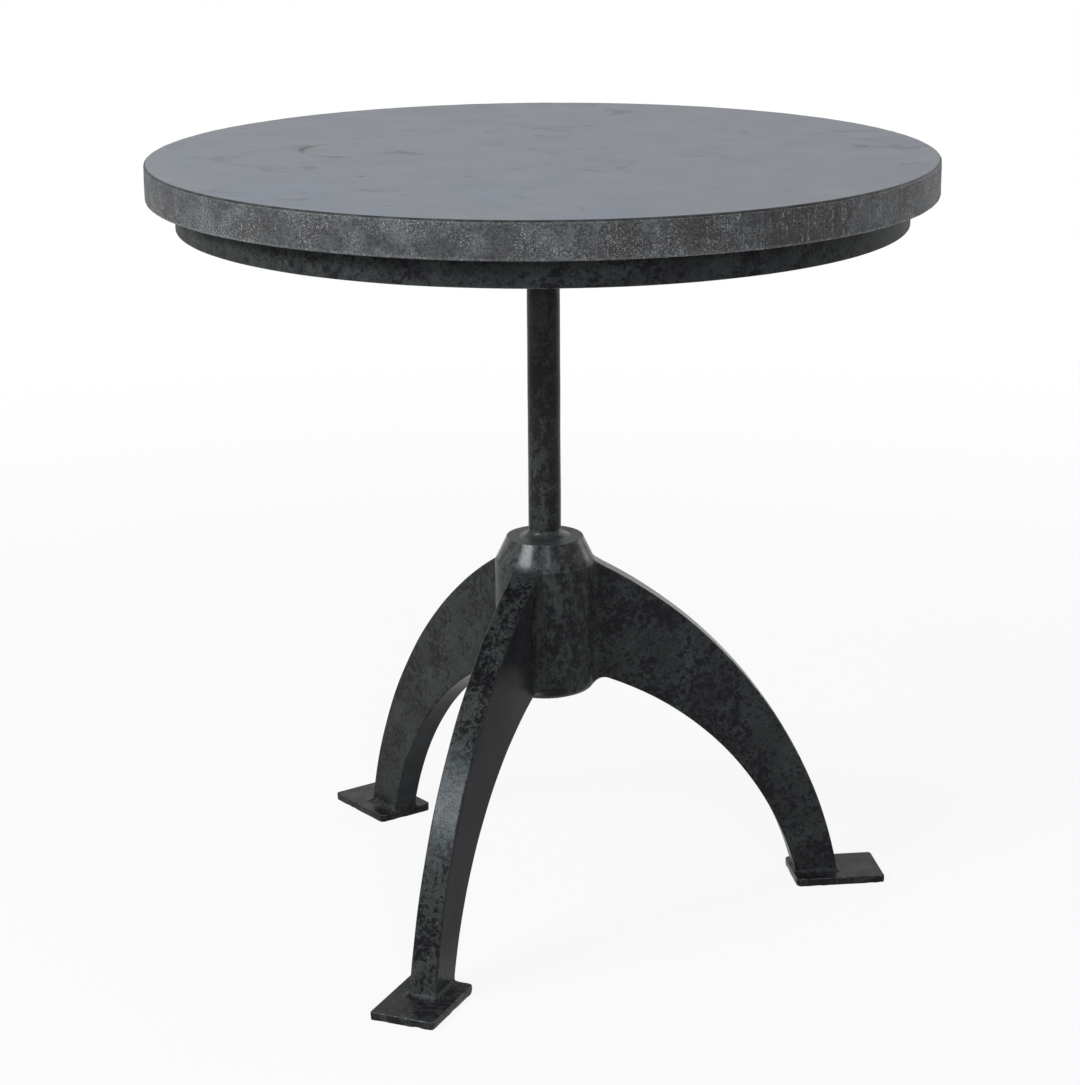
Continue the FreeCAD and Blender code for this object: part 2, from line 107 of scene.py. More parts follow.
class TableSizes(bpy.types.PropertyGroup):
    stone_arris: length("Stone arris", "Eased edge of the stone", 2.2 * MM)
    stone_chips: length("Stone chips", "Depth of the dips in the stone's sawn rim", 0.45 * MM)
    ring_wall: length("Ring wall", "Flat bar that the apron ring is rolled from", 6 * MM)
    iron_arris: length("Iron arris", "Worn rounding of the iron's edges", 1.4 * MM)
    hub_top: length("Hub top", "Radius of the hub's flat top", 30.5 * MM)
    hub_shoulder: length("Hub shoulder", "Height of the hub's tapered shoulder", 20 * MM)
    hub_round: length("Hub rounding", "Rounding of the hub's lower edge", 7.5 * MM)
    inner_radius: length("Hollow edge", "Radius of a leg's hollow edge", 257 * MM)
    inner_set_back: length("Hollow edge set back", "Centre of the hollow edge, behind the axis", 42 * MM)
    inner_drop: length("Hollow edge drop", "Centre of the hollow edge, below the floor", 55 * MM)
    leg_swell: length("Leg swell", "How much larger the convex edge's radius is", 134 * MM)
    leg_shift: length("Leg shift", "How far the convex edge's centre lies behind the other", 100 * MM)
    leg_sink: length("Leg sink", "How far the convex edge's centre lies below the other", 8 * MM)
    leg_cove: length("Leg cove", "Ground weld between a leg and the hub", 11.5 * MM)
    foot_corner: length("Foot corner", "Rounding of a foot plate's corners", 1.8 * MM)
    post_weld: length("Post weld", "Flare of the weld round the foot of the post", 6 * MM)
    foot_weld: length("Foot weld", "Flare of the weld round a leg's base", 5.2 * MM)
    bar_bead: length("Bar bead", "Radius of the weld beads under the stone", 3.6 * MM)
    ripple_pitch: length("Ripple pitch", "Distance from one weld ripple to the next", 2.6 * MM)
    bumper_radius: length("Bumper radius", "Radius of a clear bumper at its base", 9 * MM)
    bumper_taper: length("Bumper taper", "How much narrower a bumper is at its top", 0.4 * MM)


class TableFinish(bpy.types.PropertyGroup):
    iron_deep: colour("Iron, deep", "Black islands on the legs' convex edges", (0.003, 0.003, 0.003))
    iron_dark: colour("Iron, dark", "Ground of the blackened iron", (0.0114, 0.0104, 0.0121))
    iron_pale: colour("Iron, pale", "Grey-green bloom of the patina", (0.0425, 0.0480, 0.0455))
    iron_bare: colour("Iron, bare", "Brushed grey of the legs' bare faces", (0.0455, 0.0435, 0.0475))
    # painted sheen: blue-grey colour that stands in for a lamp's highlight half way down the legs
    iron_painted_sheen: colour("Iron, rubbed", "Blue-grey sheen half way down the legs", (0.098, 0.116, 0.127))
    iron_worn: colour("Iron, worn", "Metal rubbed bright along the edges", (0.13, 0.135, 0.14))
    stone_blue: colour("Stone, blue", "Cool grey of the honed face", (0.090, 0.1040, 0.1340))
    stone_warm: colour("Stone, warm", "Warmer grey in the honed face", (0.100, 0.1090, 0.1290))
    stone_stain: colour("Stone, stain", "Dark smudges on the honed face", (0.042, 0.043, 0.045))
    rim_dark: colour("Rim, dark", "Ground of the stone's sawn rim", (0.036, 0.037, 0.039))
    rim_pale: colour("Rim, pale", "Clouds in the stone's sawn rim", (0.084, 0.089, 0.096))
    rim_rust: colour("Rim, rust", "Warm dark patches in the stone's sawn rim", (0.036, 0.034, 0.033))
    rim_speck: colour("Rim, specks", "Pale crystals and saw bloom in the rim", (0.42, 0.42, 0.41))


class TableStage(bpy.types.PropertyGroup):
    camera_distance: length("Camera distance", "Camera from the post, along the floor", 2.1995)
    camera_height: length("Camera height", "Camera above the floor", 0.9323)
    camera_turn: angle("Camera turn", "Camera round the post, to the left of the front", 7.028)
    camera_yaw: angle("Camera yaw", "Line of sight, to the right of the post", -0.102)
    camera_pitch: angle("Camera pitch", "Line of sight, below the horizon", 16.079)
    camera_roll: angle("Camera roll", "Turn of the picture about the line of sight", -0.404)
    camera_lens: FloatProperty(name="Lens", description="Focal length on a 36 mm frame", default=94.97)
    ambient: share("Ambient", "Level of the room's own light", 0.26)


# Node trees


class Wire:
    """Output of a node that takes part in Python arithmetic"""

    def __init__(self, nodes, socket):
        self.nodes = nodes
        self.socket = socket

    def __add__(self, other):
        return self.nodes.maths("ADD", self, other)

    def __sub__(self, other):
        return self.nodes.maths("SUBTRACT", self, other)

    def __rsub__(self, other):
        return self.nodes.maths("SUBTRACT", other, self)

    def __mul__(self, other):
        return self.nodes.maths("MULTIPLY", self, other)

    def __truediv__(self, other):
        return self.nodes.maths("DIVIDE", self, other)

    __radd__ = __add__
    __rmul__ = __mul__


class Nodes:
    """Node tree that starts empty, with one method that adds any node"""

    def __init__(self, tree):
        self.tree = tree
        tree.nodes.clear()

    def feed(self, node, key, value):
        """value or wire into a node's socket, found by place, name or identifier"""
        if isinstance(key, int):
            socket = node.inputs[key]
        else:
            socket = next(item for item in node.inputs if key in (item.identifier, item.name))
        if isinstance(value, Wire):
            self.tree.links.new(value.socket, socket)
        elif hasattr(value, "__len__") and len(value) == 3 and socket.type == "RGBA":
            socket.default_value = (*value, 1)
        else:
            socket.default_value = value

    def node(self, kind, settings=None, sockets=None, output=0):
        """one output of a new node, found by place, name or identifier"""
        node = self.tree.nodes.new(kind)
        for key, value in (settings or {}).items():
            setattr(node, key, value)
        for key, value in (sockets or {}).items():
            self.feed(node, key, value)
        if isinstance(output, int):
            return Wire(self, node.outputs[output])
        return Wire(self, next(item for item in node.outputs if output in (item.identifier, item.name)))

    def wires(self, kind, sockets=None):
        """every output of a new node, by name"""
        node = self.node(kind, {}, sockets).socket.node
        return {item.name: Wire(self, item) for item in node.outputs}

    def maths(self, operation, *values):
        return self.node("ShaderNodeMath", {"operation": operation}, dict(enumerate(values)))


class Finish(Nodes):
    """Node tree of one material, with a Principled shader on its output"""

    def __init__(self, name):
        self.material = bpy.data.materials.new(name)
        self.material.use_nodes = True
        super().__init__(self.material.node_tree)
        self.shader = self.tree.nodes.new("ShaderNodeBsdfPrincipled")
        self.surface = self.tree.nodes.new("ShaderNodeOutputMaterial").inputs["Surface"]
        self.tree.links.new(self.shader.outputs[0], self.surface)
        self.place = self.node("ShaderNodeTexCoord", output="Object")

    def noise(self, scale, detail=4, rough=0.55, distortion=0, stretch=None, shift=0, place=None):
        """cloudy value about one half, features per metre given by scale"""
        place = place or self.place
        if stretch or shift:
            sockets = {"Vector": place, "Location": (shift, shift, shift), "Scale": stretch or (1, 1, 1)}
            place = self.node("ShaderNodeMapping", {}, sockets)
        sockets = {"Vector": place, "Scale": scale, "Detail": detail, "Roughness": rough}
        return self.node("ShaderNodeTexNoise", {}, {**sockets, "Distortion": distortion})

    def curls(self, scale, thin, wide, shift):
        """nothing, but one along the worm-like lines where a noise crosses its middle"""
        worms = self.noise(scale, 3, 0.6, 0.3, shift=shift)
        return self.band(self.maths("ABSOLUTE", worms - 0.5), wide, thin)

    def laced(self, field, low, high, scale):
        """bloom where the field is high, cracked by fine dark lines and ringed by pale curls"""
        patches = self.band(field, low, high) * (1 - 0.92 * self.curls(scale * 1.25, 0.006, 0.036, 11))
        rings = self.curls(scale * 0.6, 0.012, 0.050, 17) * self.band(field, low - 0.12, low - 0.03)
        return self.maths("MAXIMUM", patches, rings * 0.55)

    def worn(self):
        """patches worn bright along the edges that the mesh marks; on the legs and feet part of it is a
        painted highlight
        """
        patches = self.band(self.noise(150, 5, 0.65, shift=5), 0.36, 0.58)
        return self.band(self.attribute("wear"), 0.35, 1.0) * patches

    def band(self, value, low, high, start=0, end=1):
        """value eased from start at low to end at high"""
        sockets = dict(enumerate((value, low, high, start, end)))
        return self.node("ShaderNodeMapRange", {"interpolation_type": "SMOOTHSTEP"}, sockets)

    def blend(self, factor, first, second):
        sockets = {"Factor_Float": factor, "A_Color": first, "B_Color": second}
        return self.node("ShaderNodeMix", {"data_type": "RGBA"}, sockets, "Result_Color")

    def attribute(self, name):
        return self.node("ShaderNodeAttribute", {"attribute_name": name}, output="Fac")

    def axes(self):
        return self.wires("ShaderNodeSeparateXYZ", {0: self.place}).values()

    def point(self, *values):
        """place from one to three values"""
        return self.node("ShaderNodeCombineXYZ", {}, dict(enumerate(values)))

    def away(self, across, along):
        """distance over the flat"""
        return self.maths("SQRT", across * across + along * along)

    def bump(self, height, depth, strength=1.0):
        sockets = {"Strength": strength, "Distance": depth, "Height": height}
        return self.node("ShaderNodeBump", {}, sockets)

    def shade(self, **sockets):
        """inputs of the Principled shader, written with underscores for spaces"""
        for key, value in sockets.items():
            self.feed(self.shader, key.replace("_", " "), value)
        return self.material

    def cover(self, factor, shader):
        """another shader laid over the surface by a factor"""
        below = Wire(self, self.surface.links[0].from_socket)
        mixed = self.node("ShaderNodeMixShader", {}, {0: factor, 1: below, 2: shader})
        self.tree.links.new(mixed.socket, self.surface)
        return self.material


# Finishes


# Kinds of iron: lace per metre, bloom, stretch of the lace, roughness and shine
IRONS = {
    "leg_iron": (245, 0.062, None, 0.17, 0.06),
    "turned_iron": (175, 0.01, (1, 1, 0.6), 0.30, 0.09),
    "plate_iron": (185, 0.03, None, 0.28, 0.07),
    "flare_iron": (240, 0.04, None, 0.28, 0.16),
    "apron_iron": (150, 0.075, None, 0.5, 0.045),
    "weld_iron": (210, 0.03, None, 0.36, 0.09),
}


def iron(name):
    """one kind of iron, made once and shared by the pieces that ask for it"""
    return bpy.data.materials.get(name) or iron_finish(name, *IRONS[name])


def iron_finish(name, lace_scale, bloom, streak, gloss, shine):
    """waxed black iron under a lacy grey-green bloom, worn bright where the mesh says it is worn (on the
    legs partly a painted highlight), with a painted sheen half way down the legs and bare faces painted
    paler towards the foot
    """
    look = bpy.context.scene.table_finish
    f = Finish(name)
    cover = f.noise(38, 4, 0.55, shift=3)
    grain = f.noise(lace_scale, 7, 0.72, 0.12, stretch=streak)
    fine = f.noise(560, 3, 0.6)
    field = grain + (cover - 0.5) * 0.55 + (fine - 0.5) * 0.16
    bare, crest = f.attribute("bare"), f.attribute("crest")
    lace = f.laced(field - 0.02 * crest, 0.52 - bloom, 0.56 - bloom, lace_scale) * (1 - 0.9 * bare)
    veil = f.band(f.noise(46, 5, 0.6, shift=9), 0.35, 0.72)
    tone = f.blend(lace * (0.45 + 0.55 * veil + 0.3 * crest), look.iron_dark, look.iron_pale)
    run = f.attribute("run")
    brushed = f.noise(55, 4, 0.6, place=f.point(run, f.attribute("rise") * 16))
    # bare faces take the brushed grey, and take more of it towards the foot as run grows: that growth is
    # painted light
    bare_and_painted_light = bare * (f.band(brushed, 0.3, 0.7) * 0.16 + veil * 0.12 + run * 0.75)
    tone = f.blend(bare_and_painted_light, tone, look.iron_bare)
    tone = f.blend(crest * (1 - lace) * 0.4, tone, look.iron_deep)
    # painted sheen half way down the legs, a colour in place of the lamp's highlight
    tone = f.blend(f.attribute("wear_and_painted_sheen") * (0.24 + 0.34 * veil + 0.2 * lace), tone, look.iron_painted_sheen)
    # the wear mask carries real wear and also a painted highlight on the legs' edges at negative v and on
    # the feet's top edges
    worn = f.worn()
    tone = f.blend(worn * 0.75, tone, look.iron_worn)
    rough = gloss + 0.03 * lace + (f.noise(70, 3, shift=7) - 0.5) * 0.10 - 0.04 * worn
    normal = f.bump(lace * 0.3 + fine * 0.3 + grain * 0.4, 0.18 * MM, 0.5)
    f.shade(
        Base_Color=tone, Roughness=rough, Metallic=worn * 0.4, Normal=normal, Specular_IOR_Level=shine
    )
    return f.cover(bare * 0.45, f.node("ShaderNodeBsdfDiffuse", {}, {"Color": tone, "Normal": normal}))


def hub_finish(look, top):
    """iron of the hub: bloom that runs down the wall, and fine turned lines on its flat top"""
    f = Finish("hub_iron")
    x, y, z = f.axes()
    grain = f.noise(165, 7, 0.72, 0.12, stretch=(1, 1, 0.7))
    run = f.noise(60, 5, 0.6, stretch=(1, 1, 0.22), shift=2)
    fine = f.noise(560, 3, 0.6)
    lace = f.laced(grain + (run - 0.5) * 0.50 + (fine - 0.5) * 0.14, 0.485, 0.53, 168)
    lines = f.noise(1500, 2, 0.5, place=f.point(f.away(x, y)))
    level = f.band(z, top - 0.5 * MM, top - 0.2 * MM)
    cast = lace * (1 - level) + level * (0.55 + f.band(lines, 0.3, 0.7) * 0.6 + lace * 0.25)
    tone = f.blend(cast, look.iron_dark, look.iron_pale)
    worn = f.worn()
    tone = f.blend(worn * 0.6, tone, look.iron_worn)
    handled = f.band(f.noise(40, 4, shift=8), 0.30, 0.50)
    polish = f.band(z, top - 19 * MM, top - 14 * MM) * (1 - level) * handled
    return f.shade(
        Base_Color=tone,
        Roughness=0.32 + 0.08 * lace + 0.06 * level - 0.10 * polish,
        Metallic=worn * 0.4,
        Normal=f.bump(lace * 0.3 + fine * 0.3 + grain * 0.4 + lines * level, 0.25 * MM, 0.45),
        Specular_IOR_Level=0.09,
        Coat_Weight=polish * 0.22,
        Coat_Roughness=0.20,
    )


def honed_finish(look, high):
    """honed face of the stone: soft blue and warm clouds, dark smudges, short scuffs and a cup ring"""
    f = Finish("honed_stone")
    cloud = f.band(f.noise(11, 4, 0.55, 0.3), 0.42, 0.60)
    tone = f.blend(cloud, look.stone_blue, look.stone_warm)
    smudge = f.band(f.noise(19, 6, 0.62, 0.5, stretch=(1, 0.8, 1), shift=4), 0.58, 0.74)
    dash = f.band(f.noise(42, 3, 0.5, 0.3, stretch=(1, 2.2, 1), shift=2), 0.685, 0.76)
    x, y, z = f.axes()
    cup_x, cup_y, cup_radius = -0.148, 0.042, 0.036
    off_ring = f.maths("ABSOLUTE", f.away(x - cup_x, y - cup_y) - cup_radius)
    ring = f.band(off_ring, 0.0045, 0.0008) * f.band(f.noise(30, 4, shift=6), 0.44, 0.60)
    mark = f.maths("MAXIMUM", smudge * 0.5, dash * 0.65)
    mark = f.maths("MAXIMUM", mark, ring * 0.9) * f.band(z, high - 4 * MM, high - 3 * MM)
    return f.shade(
        Base_Color=f.blend(mark, tone, look.stone_stain),
        Roughness=0.43 + (f.noise(30, 4, shift=8) - 0.5) * 0.10 + mark * 0.16,
        Normal=f.bump(f.noise(650, 4, 0.6) * 0.5 + f.noise(120, 4) * 0.5, 0.08 * MM, 0.5),
        Specular_IOR_Level=0.38,
    )


def rim_finish(look, radius):
    """sawn rim of the stone: cloudy grey with pale specks and bloom running down from the saw"""
    f = Finish("sawn_rim")
    x, y, z = f.axes()
    place = f.point(f.maths("ARCTAN2", y, x) * radius, z)
    right = f.band(x, -0.1, 0.12)
    cloud = f.band(f.noise(38, 6, 0.68, 0.4, place=place), 0.36, 0.64)
    tone = f.blend(cloud, look.rim_dark, look.rim_pale)
    rust = f.band(f.noise(23, 5, 0.65, 0.3, place=place, shift=7) + 0.065 * right, 0.50, 0.60)
    tone = f.blend(rust * (0.6 + 0.4 * right), tone, look.rim_rust)
    patch = f.band(f.noise(30, 5, 0.65, place=place, shift=3), 0.42, 0.58)
    speck = f.band(f.noise(1050, 2, 0.8), 0.555, 0.615)
    run = f.band(f.noise(170, 5, 0.7, place=place, stretch=(1, 0.10, 1)), 0.50, 0.61) * right
    crust = f.band(f.noise(620, 4, 0.8, place=place, stretch=(1, 0.5, 1)), 0.49, 0.60)
    pits = f.band(f.noise(480, 4, 0.75, shift=6), 0.49, 0.40)
    bloom = f.maths("MAXIMUM", speck * (0.18 + 0.82 * patch), run * crust * 0.9)
    bloom = f.maths("MAXIMUM", bloom, f.attribute("wear") * (crust * 0.6 + 0.15))
    tone = f.blend(bloom * (0.68 + 0.1 * right), tone, look.rim_speck)
    coarse = f.noise(330, 5, 0.65)
    return f.shade(
        Base_Color=f.blend(pits * 0.6, tone, look.iron_dark),
        Roughness=0.62 + (coarse - 0.5) * 0.3,
        Normal=f.bump(coarse + bloom * 0.4 - pits * 0.5, 0.5 * MM, 0.7),
        Specular_IOR_Level=0.25,
    )


def arris_finish(look):
    """eased edge of the stone, painted dark in patches as a line of painted shade along the edge"""
    f = Finish("stone_arris")
    return f.shade(
        Base_Color=f.blend(f.band(f.noise(90, 5, 0.6), 0.4, 0.62), look.iron_dark, look.rim_dark),
        Roughness=0.5 + (f.noise(60, 3) - 0.5) * 0.2,
        Normal=f.bump(f.noise(300, 4, 0.6), 0.15 * MM, 0.6),
        Specular_IOR_Level=0.2,
    )


def bumper_finish():
    """clear soft plastic with a little dust"""
    f = Finish("clear_bumper")
    dust = f.band(f.noise(420, 4, 0.6), 0.5, 0.75)
    tone = f.blend(dust, (0.78, 0.80, 0.80), (0.55, 0.55, 0.53))
    rough = 0.18 + dust * 0.35
    return f.shade(Base_Color=tone, Roughness=rough, Transmission_Weight=0.85, IOR=1.46)


# Mesh helpers


def soften(corners, closed=True, steps=4):
    """outline as (point, wear) pairs, from corners given as (x, y, rounding)"""
    count = len(corners)
    outline = []
    for index, (x, y, radius) in enumerate(corners):
        corner = Vector((x, y))
        if radius == 0 or (not closed and index in (0, count - 1)):
            outline.append((corner, 0.0))
            continue
        before = (Vector(corners[index - 1][:2]) - corner).normalized()
        after = (Vector(corners[(index + 1) % count][:2]) - corner).normalized()
        half = before.angle(after) / 2
        run = radius / math.tan(half)
        centre = corner + (before + after).normalized() * (radius / math.sin(half))
        first, last = corner + before * run - centre, corner + after * run - centre
        beside = 0.3 * radius
        outline.append((centre + first + before * beside, 0.0))
        for step in range(steps + 1):
            along = step / steps
            spot = first.slerp(last, along) * radius
            wear_and_painted_sheen = min(1.0, 2.5 * MM / radius)
            outline.append((centre + spot, wear_and_painted_sheen * (0.3 + 0.7 * math.sin(math.pi * along))))
        outline.append((centre + last + after * beside, 0.0))
    return outline


def new_mesh():
    bm = bmesh.new()
    bm.verts.layers.float.new("wear")
    return bm


def add_point(bm, place, worn=0.0):
    vertex = bm.verts.new(place)
    vertex[bm.verts.layers.float["wear"]] = worn
    return vertex


def bridge(bm, first, second, material=0):
    """faces between two closed rows of points, either of which may be a single point"""
    count = max(len(first), len(second))
    for index in range(count):
        after = (index + 1) % count
        corners = [first[index % len(first)], first[after % len(first)]]
        corners += [second[after % len(second)], second[index % len(second)]]
        unique = list(dict.fromkeys(corners))
        bm.faces.new(unique).material_index = material


def between(start, end, count, margin=0):
    """evenly spaced values that keep a margin from both ends"""
    return [start + margin + (end - start - 2 * margin) * k / count for k in range(count + 1)]


def oblong(low, high, half, long_steps, wide_steps, roundings):
    """outline of a bar or a plate with rounded corners, and points along its sides"""
    first, second, third, last = roundings
    corners = [(low, -half, first), *[(x, -half, 0) for x in long_steps]]
    corners += [(high, -half, second), *[(high, y, 0) for y in wide_steps]]
    corners += [(high, half, third), *[(x, half, 0) for x in reversed(long_steps)]]
    corners += [(low, half, last), *[(low, y, 0) for y in reversed(wide_steps)]]
    return soften(corners)


def round_points(radius, height, turns):
    """places on a circle about the table's axis"""
    return [Vector((radius * math.cos(turn), radius * math.sin(turn), height)) for turn in turns]


def lathe(profile, segments, closed=False, material_of=None):
    """mesh of a profile of ((radius, height), wear) pairs turned about the table's axis"""
    bm = new_mesh()
    turns = [math.tau * index / segments for index in range(segments)]
    rows = []
    for (radius, height), worn in profile:
        places = [(0, 0, height)] if radius < 1e-6 else round_points(radius, height, turns)
        rows.append([add_point(bm, place, worn) for place in places])
    following = rows[1:] + rows[:1] if closed else rows[1:]
    for index, (low, high) in enumerate(zip(rows, following)):
        bridge(bm, low, high, material_of(index) if material_of else 0)
    return bm


def loft(rows):
    """closed mesh through rows of (place, wear) pairs, capped at both ends"""
    bm = new_mesh()
    rings = [[add_point(bm, place, worn) for place, worn in row] for row in rows]
    for low, high in zip(rings, rings[1:]):
        bridge(bm, low, high)
    bm.faces.new(rings[0])
    bm.faces.new(rings[-1])
    return bm


def roughen(bm, depth, scale, seed):
    """low hills of a hand-worked surface, along the normals"""
    bmesh.ops.recalc_face_normals(bm, faces=bm.faces)
    bm.normal_update()
    away = Vector((seed, 2 * seed, 3 * seed))
    moves = [vertex.normal * depth * noise.noise(vertex.co * scale + away) for vertex in bm.verts]
    for vertex, move in zip(bm.verts, moves):
        vertex.co += move


def turned(bm, degrees):
    spin = Matrix.Rotation(math.radians(degrees), 3, "Z")
    bmesh.ops.rotate(bm, verts=bm.verts, cent=(0, 0, 0), matrix=spin)
    return bm


def new_object(name, bm):
    """object of a finished mesh, put into the scene"""
    thing = bpy.data.objects.new(name, bpy.data.meshes.new(name))
    bm.to_mesh(thing.data)
    bm.free()
    bpy.context.scene.collection.objects.link(thing)
    return thing


def new_piece(name, bm, materials, slot, *nodes):
    """piece on the fixed body, in place of the nodes that it stands for"""
    bmesh.ops.recalc_face_normals(bm, faces=bm.faces)
    piece = new_object(name, bm)
    piece.data.shade_smooth()
    for material in materials:
        piece.data.materials.append(material)
    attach(piece, "root")
    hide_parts(*nodes)
    return piece


# The legs' two arcs


class Arc:
    """edge of a leg, an arc in the leg's own upright plane"""

    def __init__(self, radius, set_back, drop):
        self.radius = radius
        self.set_back = set_back
        self.drop = drop

    def height(self, x):
        return math.sqrt(self.radius**2 - (x + self.set_back) ** 2) - self.drop

    def reach(self, z):
        return math.sqrt(self.radius**2 - (z + self.drop) ** 2) - self.set_back

    def spot(self, along, root, base):
        """point on the way from the height over root to the reach at base"""
        first = math.atan2(self.height(root) + self.drop, root + self.set_back)
        last = math.atan2(base + self.drop, self.reach(base) + self.set_back)
        turn = first + (last - first) * along
        across, up = self.radius * math.cos(turn), self.radius * math.sin(turn)
        return Vector((across - self.set_back, up - self.drop))


def leg_arcs(sizes):
    inner = Arc(sizes.inner_radius, sizes.inner_set_back, sizes.inner_drop)
    outer = Arc(
        sizes.inner_radius + sizes.leg_swell,
        sizes.inner_set_back + sizes.leg_shift,
        sizes.inner_drop + sizes.leg_sink,
    )
    return outer, inner


# Weld beads that follow a path


def weld_tree():
    """geometry nodes that run a rippled, lumpy bead along the edges of a mesh"""
    tree = bpy.data.node_groups.get("weld_bead")
    if tree:
        return tree
    tree = bpy.data.node_groups.new("weld_bead", "GeometryNodeTree")
    values = ("Bead radius", "Ripple pitch", "Ripple height", "Lump height", "Seed")
    kinds = {"Path": "Geometry", **dict.fromkeys(values, "Float"), "Metal": "Material"}
    for name, kind in kinds.items():
        tree.interface.new_socket(name, in_out="INPUT", socket_type=f"NodeSocket{kind}")
    tree.interface.new_socket("Bead", in_out="OUTPUT", socket_type="NodeSocketGeometry")
    n = Nodes(tree)
    given = n.wires("NodeGroupInput")
    pitch = given["Ripple pitch"]
    line = n.node("GeometryNodeMeshToCurve", {}, {0: given["Path"]})
    sockets = {"Curve": line, "Length": pitch / 5.0}
    line = n.node("GeometryNodeResampleCurve", {"mode": "LENGTH"}, sockets)
    sockets = {"Geometry": line, "Name": "along"}
    sockets["Value"] = n.node("GeometryNodeSplineParameter", output="Length")
    line = n.node("GeometryNodeStoreNamedAttribute", {"data_type": "FLOAT", "domain": "POINT"}, sockets)
    sockets = {"Resolution": 18, "Radius": given["Bead radius"]}
    ring = n.node("GeometryNodeCurvePrimitiveCircle", {"mode": "RADIUS"}, sockets)
    bead = n.node("GeometryNodeCurveToMesh", {}, {0: line, "Profile Curve": ring, "Fill Caps": True})
    along = n.node("GeometryNodeInputNamedAttribute", {"data_type": "FLOAT"}, {"Name": "along"})
    wave = n.maths("ABSOLUTE", n.maths("SINE", along / pitch * math.pi))
    sockets = {"W": given["Seed"], "Scale": 170.0, "Detail": 2.0}
    lumps = n.node("ShaderNodeTexNoise", {"noise_dimensions": "4D"}, sockets)
    rise = wave * given["Ripple height"] + (lumps - 0.55) * given["Lump height"] * 4.0
    sockets = {0: n.node("GeometryNodeInputNormal"), "Scale": rise}
    move = n.node("ShaderNodeVectorMath", {"operation": "SCALE"}, sockets)
    bead = n.node("GeometryNodeSetPosition", {}, {"Geometry": bead, "Offset": move})
    bead = n.node("GeometryNodeSetShadeSmooth", {}, {"Geometry": bead})
    bead = n.node("GeometryNodeRealizeInstances", {}, {"Geometry": bead})
    bead = n.node("GeometryNodeSetMaterial", {}, {"Geometry": bead, "Material": given["Metal"]})
    n.feed(tree.nodes.new("NodeGroupOutput"), 0, bead)
    return tree


def weld_piece(name, paths, radius, node, seed, closed=False):
    """bead along paths of points, turned into a plain mesh that stands for a weld of the frame"""
    sizes = bpy.context.scene.table_sizes
    bm = bmesh.new()
    for path in paths:
        points = [bm.verts.new(place) for place in path]
        following = points[1:] + points[:1] if closed else points[1:]
        for first, second in zip(points, following):
            bm.edges.new((first, second))
    carrier = new_object(f"{name}_path", bm)
    mesh, tree = carrier.data, weld_tree()
    modifier = carrier.modifiers.new("bead", "NODES")
    modifier.node_group = tree
    values = {
        "Bead radius": radius,
        "Ripple pitch": sizes.ripple_pitch,
        "Ripple height": 0.10 * radius,
        "Lump height": 0.16 * radius,
        "Seed": float(seed),
        "Metal": iron("weld_iron"),
    }
    for item in tree.interface.items_tree:
        if item.in_out == "INPUT" and item.name in values:
            modifier[item.identifier] = values[item.name]
    graph = bpy.context.evaluated_depsgraph_get()
    made = bpy.data.meshes.new_from_object(carrier.evaluated_get(graph), depsgraph=graph)
    bpy.data.objects.remove(carrier)
    bpy.data.meshes.remove(mesh)
    bm = bmesh.new()
    bm.from_mesh(made)
    bpy.data.meshes.remove(made)
    bmesh.ops.remove_doubles(bm, verts=bm.verts, dist=0.01 * MM)
    return new_piece(name, bm, [iron("weld_iron")], "weld_metal", node)


# Operators, one for each piece or group of like pieces


class TABLE_OT_stone_top(bpy.types.Operator):
    """Make the stone top: honed face, sawn rim and eased edges"""

    bl_idname = "table.stone_top"
    bl_label = "Stone top"

    def execute(self, context):
        sizes, look = context.scene.table_sizes, context.scene.table_finish
        radius, low, high = STONE_HIGH.x, STONE_LOW.z, STONE_HIGH.z
        middle, arris, rim_rows, face_rows = (low + high) / 2, sizes.stone_arris, 14, 10
        rim = [(radius, z, 0) for z in between(low, high, rim_rows, 1.3 * arris)[1:-1]]
        corners = [(0, low, 0), (radius * 0.9, low, 0), (radius, low, arris), *rim, (radius, high, arris)]
        corners += [(radius * (1 - k / face_rows), high, 0) for k in range(1, face_rows + 1)]
        profile = soften(corners, closed=False, steps=5)
        honed, sawn, eased = range(3)

        def region(index):
            """material of one row of faces, by its place among the stone's three"""
            (first, worn), (second, also) = profile[index], profile[index + 1]
            if second.y < middle:
                return honed if second.x < radius - 1.2 * arris else sawn
            if worn + also > 1.2:
                return eased
            return sawn if first.y < high - 0.6 * arris else honed

        bm = lathe(profile, STONE_FACETS, material_of=region)
        for vertex in bm.verts:
            out = Vector((vertex.co.x, vertex.co.y, 0))
            if out.length < radius - 1.6 * arris:
                continue
            grit = noise.fractal(vertex.co * 140, 1.0, 2.0, 4)
            swell = noise.noise(vertex.co * 22)
            depth = 0.12 * MM + sizes.stone_chips * max(0.0, 0.45 + 0.45 * grit + 0.3 * swell)
            rise = 2 * (vertex.co.z - middle) / (high - low)
            vertex.co -= out.normalized() * depth
            if abs(rise) > 0.8:
                vertex.co.z -= math.copysign(depth * 0.45, rise)
        materials = [honed_finish(look, high), rim_finish(look, radius), arris_finish(look)]
        new_piece("honed_stone_top", bm, materials, "honed_stone", "stone_top")
        return {"FINISHED"}


